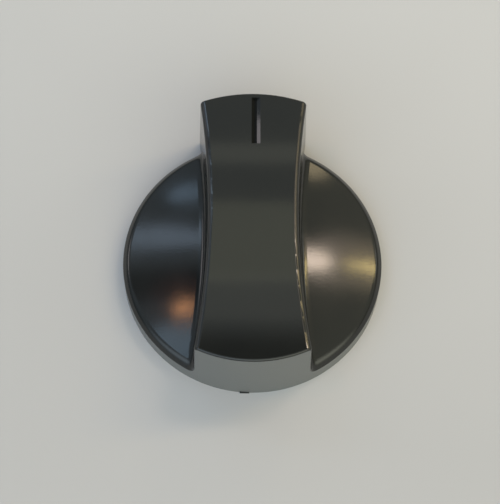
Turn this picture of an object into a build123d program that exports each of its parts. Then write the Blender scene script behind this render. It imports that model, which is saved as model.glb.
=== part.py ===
from build123d import *
from math import asin, cos, radians, sin, tan
import os

# Push-on control knob for a cooker or hob: one black moulding with a round skirt, a waisted
# grip bar that runs past the skirt as a pointer, and a steel leaf spring in its shaft socket.
# The origin is on the shaft's axis at the skirt's foot, +Y towards the pointer, +Z up.

# Skirt, with a domed wing on either side of the grip
skirt_radius = 21.2
skirt_draft = 2.0
rim_height = 3.5
rim_bevel = 0.5
rim_bevel_slope = 52.0
rim_roll_width = 0.8
wing_dome_radius = 70.0

# Grip bar and pointer
grip_height = 15.7
grip_waist = 14.1
waist_offset = 2.8
grip_side_radius = 133.5
grip_draft = 2.0
pointer_reach = 24.8

# Rounding of the moulding's edges
grip_side_round = 0.8
grip_foot_round = 1.6
edge_round = 0.4

# Marker, a groove along the pointer's top
marker_offset = 0.4
marker_width = 1.4
marker_root = 0.5
marker_length = 8.2
marker_depth = 0.6
marker_end_gap = 0.8

# Gate mark left by the moulding tool at the front of the skirt's foot
gate_width = 1.5
gate_height = 0.4
gate_proud = 0.15
gate_offset = -1.2

# Cored underside
wall = 1.8
rib_thickness = 1.2
rib_setback = 1.0

# Boss and socket for a D-shaped shaft
shaft_diameter = 8.0
shaft_across_flat = 6.5
shaft_clearance = 0.05
socket_depth = 12.2
socket_lead_in = 0.4
boss_wall = 2.2
boss_draft = 0.5

# Leaf spring that presses on the shaft's flat, with a foot hooked over the boss's mouth
spring_width = 4.0
spring_thickness = 0.4
spring_length = 11.0
spring_foot = 1.8
spring_tab = 2.2
spring_bow = 0.8
spring_bend = 0.4
spring_slot_depth = 0.9
spring_clearance = 0.1

# Worked-out sizes
skirt_lean = tan(radians(skirt_draft))
grip_lean = tan(radians(grip_draft))
boss_lean = tan(radians(boss_draft))
rim_radius = skirt_radius - rim_height * skirt_lean
bore_radius = shaft_diameter / 2 + shaft_clearance
flat_distance = shaft_across_flat - shaft_diameter / 2 + shaft_clearance
boss_radius = bore_radius + boss_wall
slot_back = flat_distance + spring_slot_depth
slot_width = spring_width + 2 * spring_clearance
foot_recess = spring_thickness + spring_clearance
past_everything = 2 * (pointer_reach + grip_height)
join_tolerance = 0.001
STANDING = (Align.CENTER, Align.CENTER, Align.MIN)
BEHIND = (Align.CENTER, Align.MIN, Align.MIN)


def block(x_size, y_size, z_size, base=(0, 0, 0), align=STANDING):
    """Plain block, standing on its base point unless told otherwise."""
    return Pos(*base) * Box(x_size, y_size, z_size, align=align)


def drum(radius, height):
    """Round block on the base plane that leans in with the skirt's draft."""
    return Cone(radius, radius - height * skirt_lean, height, align=None)


def side_sweep(turn, set_in, height):
    """Big round block whose leaning wall is one long side of the grip, or of its hollow."""
    foot_radius = grip_side_radius + set_in - grip_height * grip_lean
    sweep = Cone(foot_radius, foot_radius + height * grip_lean, height, align=None)
    beside_waist = Rot(0, 0, turn) * Pos(grip_waist / 2 + grip_side_radius, 0, 0)
    return Pos(0, waist_offset, 0) * beside_waist * sweep


def waisted_bar(set_in, height):
    """Bar with the grip's waisted sides, running on past both ends of the knob."""
    bar = block(4 * skirt_radius, past_everything, height)
    for turn in (0, 180):
        bar -= side_sweep(turn, set_in, height)
    return bar


def round_long_edges(grip):
    """Rounds the two long edges of the grip's top."""
    top_edges = grip.faces().sort_by(Axis.Z)[-1].edges()
    return fillet(top_edges.sort_by(lambda edge: abs(edge.center().X))[-2:], grip_side_round)


# The wings' section: a dome that rolls over into a bevel, which runs on past the skirt's wall
bevel_slope = radians(rim_bevel_slope)
roll_end = (rim_radius - rim_bevel, rim_height + rim_bevel * tan(bevel_slope))
roll_start_radius = roll_end[0] - rim_roll_width
dome_slope = asin(roll_start_radius / wing_dome_radius)
roll_radius = rim_roll_width / (sin(bevel_slope) - sin(dome_slope))
roll_start_height = roll_end[1] + roll_radius * (cos(dome_slope) - cos(bevel_slope))
roll_start = (roll_start_radius, roll_start_height)
dome_centre = roll_start_height - wing_dome_radius * cos(dome_slope)
crown_height = dome_centre + wing_dome_radius
crown = (0, crown_height)
overrun = rim_height / 2
outside = (rim_radius + overrun, rim_height - overrun * tan(bevel_slope))
overhead = grip_height + overrun
dome_arc = RadiusArc(crown, roll_start, wing_dome_radius)
roll_arc = RadiusArc(roll_start, roll_end, roll_radius)
cutter_outline = Polyline(roll_end, outside, (outside[0], overhead), (0, overhead), crown)
above_wings = revolve(Plane.YZ * make_face(dome_arc + roll_arc + cutter_outline), Axis.Z)

# Skirt and grip: a tall drum with a scoop cut from each side, rounded where it meets the grip
knob_body = drum(skirt_radius, grip_height)
for turn in (0, 180):
    sweep = side_sweep(turn, 0, overhead + overrun)
    scoop = above_wings & sweep
    cut_edges = new_edges(above_wings, sweep, combined=scoop)
    foot_edges = cut_edges.filter_by(lambda edge: edge.bounding_box().max.Z < crown_height)
    knob_body -= fillet(foot_edges, grip_foot_round)
knob_body = round_long_edges(knob_body)
skirt_wall = knob_body.faces().filter_by(GeomType.CONE).sort_by(SortBy.AREA)[-1]
outline = skirt_wall.edges().filter_by(lambda edge: edge.bounding_box().min.Z > rim_height / 2)
knob_body = fillet(outline, edge_round)

# Pointer: the same bar, run on past the skirt and rounded around its end
back_part = block(past_everything, past_everything, grip_height, (0, skirt_radius / 2, 0), BEHIND)
pointer = waisted_bar(0, grip_height) & drum(pointer_reach, grip_height) & back_part
pointer = round_long_edges(pointer)
pointer_end = pointer.faces().filter_by(GeomType.CONE).sort_by(Axis.Y)[-1]
end_outline = pointer_end.edges().filter_by(lambda edge: edge.bounding_box().max.Z > rim_height)
knob_body = knob_body.fuse(fillet(end_outline, edge_round), tol=join_tolerance)

# Marker groove, steep on its left and shallow on its right, and the gate mark
marker_end = pointer_reach - grip_height * skirt_lean - marker_end_gap
marker_left = marker_offset - marker_width / 2
marker_section = Polyline(
    (marker_left, grip_height),
    (marker_left + marker_root, grip_height - marker_depth),
    (marker_left + marker_width, grip_height),
    close=True,
)
knob_body -= extrude(Plane.XZ.offset(-marker_end) * make_face(marker_section), marker_length)
knob_body += block(gate_width, 2 * (wall + gate_proud), gate_height, (gate_offset, wall - skirt_radius, 0))

# Hollow under the wings and inside the grip, with the boss and a rib to each wing left in it
hollow_height = grip_height - wall
inner_dome = Pos(0, 0, dome_centre) * Sphere(wing_dome_radius - wall)
inner_drum = drum(skirt_radius - wall, hollow_height)
inner_reach = inner_drum + (drum(pointer_reach - wall, hollow_height) & back_part)
hollow = (inner_drum & inner_dome) + (waisted_bar(wall, hollow_height) & inner_reach)
boss = Cone(boss_radius, boss_radius + grip_height * boss_lean, grip_height, align=STANDING)
rib = block(past_everything, rib_thickness, grip_height, (0, 0, rib_setback))
knob_body -= hollow - boss - rib

# D-shaped socket with a lead-in at its mouth
beyond_flat = (Align.CENTER, Align.MIN, Align.CENTER)
socket = Cylinder(bore_radius, socket_depth, align=STANDING)
socket -= block(past_everything, past_everything, past_everything, (0, flat_distance, 0), beyond_flat)
socket += Cone(bore_radius + socket_lead_in, bore_radius, socket_lead_in, align=STANDING)
knob_body -= socket

# Slot for the spring behind the socket's flat, and a recess for its foot in the boss's mouth
slot_height = foot_recess + spring_length + spring_clearance
inward = (Align.CENTER, Align.MAX, Align.MIN)
knob_body -= block(slot_width, spring_slot_depth, slot_height, (0, slot_back, 0), inward)
knob_body -= block(slot_width, spring_foot + spring_clearance, foot_recess, (0, slot_back, 0), BEHIND)
hooked_corner = knob_body.edges().sort_by_distance((0, slot_back, foot_recess))[0]
knob_body = fillet(hooked_corner, spring_bend)

# Leaf spring: foot, tab, bow towards the shaft, and upper tab
leaf_back = slot_back - spring_thickness / 2
foot_level = foot_recess - spring_thickness / 2
leaf_top = foot_level + spring_length
leaf_middle = foot_level + spring_length / 2
leaf_path = FilletPolyline(
    (slot_back + spring_foot, foot_level),
    (leaf_back, foot_level),
    (leaf_back, foot_level + spring_tab),
    (leaf_back - spring_bow, leaf_middle),
    (leaf_back, leaf_top - spring_tab),
    (leaf_back, leaf_top),
    radius=spring_bend + spring_thickness / 2,
)
leaf_face = Plane.YZ * trace(leaf_path, spring_thickness)
shaft_spring = extrude(leaf_face, spring_width / 2, both=True)

os.makedirs("parts", exist_ok=True)
export_step(knob_body, "parts/knob_body.step")
export_step(shaft_spring, "parts/shaft_spring.step")
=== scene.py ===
from math import pi

import bpy
from mathutils import Matrix, Vector

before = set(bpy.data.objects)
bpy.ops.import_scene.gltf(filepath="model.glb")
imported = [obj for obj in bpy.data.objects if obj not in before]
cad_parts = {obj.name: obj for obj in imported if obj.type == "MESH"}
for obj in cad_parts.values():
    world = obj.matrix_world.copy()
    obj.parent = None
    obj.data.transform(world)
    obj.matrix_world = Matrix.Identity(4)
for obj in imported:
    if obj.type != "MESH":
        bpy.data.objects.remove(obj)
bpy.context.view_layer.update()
scene = bpy.context.scene
scene.view_settings.view_transform = "Standard"

# Knob body: one injection moulding in black plastic, with a fine satin grain from the tool's
# spark-eroded walls. Fingers have rubbed the grip's top smooth, and the gloss drifts all over.
plastic_ior = 1.5
deep_black = (0.007, 0.0075, 0.0075, 1.0)
worn_black = (0.011, 0.011, 0.010, 1.0)
# Painted reflection: grey that stands in for the bright table mirrored in the black outer wall
painted_reflection_grey = (0.13, 0.132, 0.128, 1.0)
dull_roughness = 0.45
least_roughness = 0.04
worn_edge_roughness = 0.28
grain_height = 0.0000075
grains_per_metre = 3400.0
rubbed_from, rubbed_to = 0.0135, 0.0155
edges_from, edges_to = 0.0146, 0.0150
marker_side, edge_side = 0.002, 0.004
wall_inside, wall_outside = 0.0200, 0.0205
plastic = bpy.data.materials.new("black_plastic")
plastic.use_nodes = True
nodes, links = plastic.node_tree.nodes, plastic.node_tree.links
shader = nodes["Principled BSDF"]
shader.inputs["IOR"].default_value = plastic_ior
place = nodes.new("ShaderNodeTexCoord")


def fill(socket, value):
    """Joins a socket to another node's output, or gives it a plain value."""
    if isinstance(value, bpy.types.NodeSocket):
        links.new(value, socket)
    else:
        socket.default_value = value


def noise(vector, scale, detail):
    """Cloudy value, with about as many clouds to a metre as the scale says."""
    cloud = nodes.new("ShaderNodeTexNoise")
    cloud.inputs["Scale"].default_value = scale
    cloud.inputs["Detail"].default_value = detail
    links.new(vector, cloud.inputs["Vector"])
    return cloud.outputs["Fac"]


def ramp(value, start, end, low=0.0, high=1.0, shape="LINEAR"):
    """Value that goes from low to high as the given one goes from start to end."""
    step = nodes.new("ShaderNodeMapRange")
    step.interpolation_type = shape
    limits = {"From Min": start, "From Max": end, "To Min": low, "To Max": high}
    for name, limit in limits.items():
        step.inputs[name].default_value = limit
    links.new(value, step.inputs["Value"])
    return step.outputs["Result"]


def reckon(operation, *values):
    """Result of one sum with plain values or other nodes' outputs."""
    work = nodes.new("ShaderNodeMath")
    work.operation = operation
    for socket, value in zip(work.inputs, values):
        fill(socket, value)
    return work.outputs["Value"]


def reckon_vector(operation, result, *values):
    """Result of one sum with vectors, which is a Vector or a Value."""
    work = nodes.new("ShaderNodeVectorMath")
    work.operation = operation
    for socket, value in zip(work.inputs, values):
        fill(socket, value)
    return work.outputs[result]


def split(vector):
    """The X, Y and Z of a vector."""
    parts = nodes.new("ShaderNodeSeparateXYZ")
    links.new(vector, parts.inputs["Vector"])
    return parts.outputs


def blend(kind, factor, first, last):
    """Mix that goes from the first colour or number to the last as the factor goes from 0 to 1."""
    mix = nodes.new("ShaderNodeMix")
    mix.data_type = kind
    links.new(factor, mix.inputs["Factor"])
    fill(mix.inputs["A"], first)
    fill(mix.inputs["B"], last)
    return mix.outputs["Result"]


handling = noise(place.outputs["Object"], 140.0, 3.0)
gloss = ramp(handling, 0.3, 0.7, 0.085, 0.135)
black = blend("RGBA", handling, deep_black, worn_black)
level = split(place.outputs["Object"])
rubbed_top = ramp(level["Z"], rubbed_from, rubbed_to, 1.0, 0.12)

# The grip's long top edges are worn dull by fingers
slant = split(place.outputs["Normal"])
leaning = ramp(slant["Z"], 0.99, 0.93, least_roughness, worn_edge_roughness)
near_top = ramp(level["Z"], edges_from, edges_to)
beside_marker = ramp(reckon("ABSOLUTE", level["X"]), marker_side, edge_side)
long_edges = reckon("MULTIPLY", near_top, beside_marker)
edge_wear = blend("FLOAT", long_edges, least_roughness, leaning)
polish = reckon("MULTIPLY_ADD", gloss, rubbed_top, edge_wear)

# The skirt's outer wall and the grip's ends were left rough in the tool, and they are painted grey
# as a painted reflection of the bright table the wall mirrors
from_axis = reckon_vector("MULTIPLY", "Vector", place.outputs["Object"], (1.0, 1.0, 0.0))
far_out = ramp(reckon_vector("LENGTH", "Value", from_axis), wall_inside, wall_outside)
outward = reckon_vector("NORMALIZE", "Vector", from_axis)
facing_out = reckon_vector("DOT_PRODUCT", "Value", place.outputs["Normal"], outward)
rough_wall_and_painted_reflection = reckon("MULTIPLY", far_out, ramp(facing_out, 0.95, 0.985))
links.new(blend("FLOAT", rough_wall_and_painted_reflection, polish, dull_roughness), shader.inputs["Roughness"])
# The wall's roughness is real; its grey colour is a painted reflection
links.new(blend("RGBA", rough_wall_and_painted_reflection, black, painted_reflection_grey), shader.inputs["Base Color"])

satin = nodes.new("ShaderNodeBump")
satin.inputs["Distance"].default_value = grain_height
links.new(rubbed_top, satin.inputs["Strength"])
links.new(noise(place.outputs["Object"], grains_per_metre, 2.0), satin.inputs["Height"])
links.new(satin.outputs["Normal"], shader.inputs["Normal"])

knob_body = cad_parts["knob_body"]
knob_body.data.materials.clear()
knob_body.data.materials.append(plastic)

# Shaft spring: a bowed leaf of spring steel hooked over the mouth of the boss. It was cut from
# rolled strip, so fine lines run along it, and tempering left it faintly straw-coloured.
bare_steel = (0.52, 0.51, 0.49, 1.0)
straw_steel = (0.66, 0.63, 0.57, 1.0)
drawn_out = (1.0, 0.04, 0.04)
steel = bpy.data.materials.new("spring_steel")
steel.use_nodes = True
nodes, links = steel.node_tree.nodes, steel.node_tree.links
shader = nodes["Principled BSDF"]
shader.inputs["Metallic"].default_value = 1.0
place = nodes.new("ShaderNodeTexCoord")
stretch = nodes.new("ShaderNodeMapping")
stretch.inputs["Scale"].default_value = drawn_out
links.new(place.outputs["Object"], stretch.inputs["Vector"])
rolled_lines = noise(stretch.outputs["Vector"], 9000.0, 4.0)
links.new(ramp(rolled_lines, 0.0, 1.0, 0.22, 0.42), shader.inputs["Roughness"])
links.new(blend("RGBA", rolled_lines, bare_steel, straw_steel), shader.inputs["Base Color"])

shaft_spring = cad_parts["shaft_spring"]
shaft_spring.data.materials.clear()
shaft_spring.data.materials.append(steel)

# Table: a plain pale board that the knob lies on, off-white, with a dull finish. It is painted a
# little darker towards the front and left as painted shade, with faint random clouds, and runs on
# past the picture on every side.
table_size = 1.6
table_roughness = 0.6
# Painted shade: the board is darker at the front and paler at the back, standing in for how the
# light falls
painted_shade_front_tone = (0.450, 0.441, 0.452, 1.0)
painted_light_back_tone = (0.538, 0.530, 0.543, 1.0)
painted_falloff_per_metre = (2.2, 7.6, 0.0)
cloud_share = 0.3
bpy.ops.mesh.primitive_plane_add(size=table_size)
table = bpy.context.object
table.name = "table"
board = bpy.data.materials.new("table_board")
board.use_nodes = True
nodes, links = board.node_tree.nodes, board.node_tree.links
shader = nodes["Principled BSDF"]
shader.inputs["Roughness"].default_value = table_roughness
place = nodes.new("ShaderNodeTexCoord")
clouds = noise(place.outputs["Object"], 22.0, 2.0)
# Painted light falloff across the board, plus faint random clouds of real tone
painted_light_falloff = reckon_vector("DOT_PRODUCT", "Value", place.outputs["Object"], painted_falloff_per_metre)
clouds_and_painted_falloff = reckon("MULTIPLY_ADD", clouds, cloud_share, painted_light_falloff)
links.new(blend("RGBA", clouds_and_painted_falloff, painted_shade_front_tone, painted_light_back_tone), shader.inputs["Base Color"])
table.data.materials.append(board)

# Light: a plain room with cool daylight on the left, warm lamps on the right and a dim skirting all
# round. A dark patch overhead shows in the gloss as the black front end of the grip's top.
cool_wall = (0.90, 1.08, 1.22, 1.0)
warm_wall = (1.38, 1.40, 1.15, 1.0)
patch_darkness = 0.8
knob_middle = Vector((0.0, 0.0, 0.01))
lamp_distance = 0.7
room = bpy.data.worlds.new("room")
room.use_nodes = True
nodes, links = room.node_tree.nodes, room.node_tree.links
sky = nodes["Background"]
scene.world = room
looking = nodes.new("ShaderNodeTexCoord")
compass = split(looking.outputs["Generated"])


def fade(heading, start, end, low, high):
    """Value that goes smoothly from low to high as the compass heading goes from start to end."""
    return ramp(compass[heading], start, end, low, high, "SMOOTHSTEP")


wall_colour = blend("RGBA", fade("X", -0.4, 0.45, 0.0, 1.0), cool_wall, warm_wall)
links.new(wall_colour, sky.inputs["Color"])
patch_depth = reckon("MULTIPLY", fade("Y", 0.10, 0.16, 0.0, 1.0), fade("Y", 0.297, 0.314, 1.0, 0.0))
patch_width = reckon("MULTIPLY", fade("X", 0.08, 0.2, 1.0, 0.0), fade("Z", 0.5, 0.7, 0.0, 1.0))
dark_patch = reckon("MULTIPLY", patch_depth, patch_width)
round_patch = reckon("MULTIPLY_ADD", dark_patch, -patch_darkness, 1.0)
height = reckon("MULTIPLY", fade("Z", 0.0, 0.5, 0.3, 1.0), fade("Y", -0.5, -0.2, 1.65, 0.43))
links.new(reckon("MULTIPLY", round_patch, height), sky.inputs["Strength"])


def soft_box(name, first, last, width, brightness, colour):
    """Oval lamp that spans from the first direction to the last, as bright as the knob sees it."""
    first, last = (Vector(end).normalized() * lamp_distance for end in (first, last))
    away = (first + last).normalized()
    along = (last - first).normalized()
    data = bpy.data.lights.new(name, "AREA")
    data.shape = "ELLIPSE"
    data.size, data.size_y = (last - first).length, width
    data.energy = brightness * pi * (pi / 4 * data.size * data.size_y)
    data.color = colour
    lamp = bpy.data.objects.new(name, data)
    facing = Matrix((along, away.cross(along), away)).transposed().to_4x4()
    lamp.matrix_world = Matrix.Translation(knob_middle + (first + last) / 2) @ facing
    scene.collection.objects.link(lamp)


soft_box("ceiling_strip", (-0.3, 0.352, 0.88), (0.3, 0.352, 0.88), 0.055, 0.58, (1.0, 1.0, 0.68))
soft_box("ceiling_front", (-0.25, 0.313, 0.94), (0.25, 0.313, 0.94), 0.032, 0.30, (1.0, 1.0, 0.85))
soft_box("ceiling_edge", (-0.2, 0.448, 0.88), (0.2, 0.448, 0.88), 0.014, 0.5, (1.0, 1.0, 0.8))
soft_box("right_halo", (0.18, 0.315, 0.93), (0.72, 0.31, 0.61), 0.19, 1.5, (1.0, 0.80, 0.62))
soft_box("right_lamp", (0.23, 0.33, 0.92), (0.43, 0.325, 0.84), 0.078, 18.0, (1.0, 0.81, 0.65))
soft_box("right_tail", (0.47, 0.318, 0.82), (0.82, 0.27, 0.50), 0.030, 20.0, (1.0, 0.77, 0.30))
soft_box("right_back_lamp", (0.20, 0.80, 0.56), (0.36, 0.80, 0.49), 0.12, 4.3, (1.0, 0.80, 0.48))
soft_box("right_low_window", (0.86, 0.20, 0.40), (0.80, 0.45, 0.40), 0.10, 2.0, (1.0, 0.98, 0.95))
soft_box("left_lamp", (-0.40, 0.055, 0.92), (-0.325, 0.065, 0.95), 0.042, 27.0, (1.0, 0.44, 0.17))
soft_box("left_glow", (-0.52, 0.13, 0.84), (-0.25, 0.13, 0.96), 0.16, 0.12, (1.0, 0.20, 0.20))
soft_box("left_window", (-0.70, 0.44, 0.57), (-0.20, 0.44, 0.88), 0.085, 2.0, (0.74, 0.95, 1.22))
soft_box("left_far_window", (-0.40, 0.66, 0.64), (-0.22, 0.69, 0.69), 0.08, 1.7, (0.65, 0.95, 1.3))
soft_box("left_near_window", (-0.60, -0.12, 0.79), (-0.20, -0.12, 0.97), 0.14, 1.6, (0.70, 1.0, 1.3))
soft_box("left_low_window", (-0.86, 0.20, 0.36), (-0.82, 0.50, 0.36), 0.12, 2.5, (1.0, 0.90, 0.90))

# Camera: a phone held over the front of the knob, two hands' widths away, looking down steeply.
# Its place and lens come from the skirt's ellipses and the grip's edges in the picture.
camera_place = Vector((-0.00187, -0.07238, 0.19028))
looks_at = Vector((-0.00037, 0.00292, 0.0))
upward = Vector((-0.003, 1.0, 0.0))
focal_pixels = 1228.3
picture_width = 500
lens = bpy.data.cameras.new("phone")
lens.sensor_fit = "HORIZONTAL"
lens.sensor_width = 36.0
lens.lens = lens.sensor_width * focal_pixels / picture_width
lens.clip_start = 0.005
camera = bpy.data.objects.new("phone", lens)
back = (camera_place - looks_at).normalized()
across = upward.cross(back).normalized()
turned = Matrix((across, back.cross(across), back)).transposed()
camera.matrix_world = Matrix.Translation(camera_place) @ turned.to_4x4()
scene.collection.objects.link(camera)
scene.camera = camera
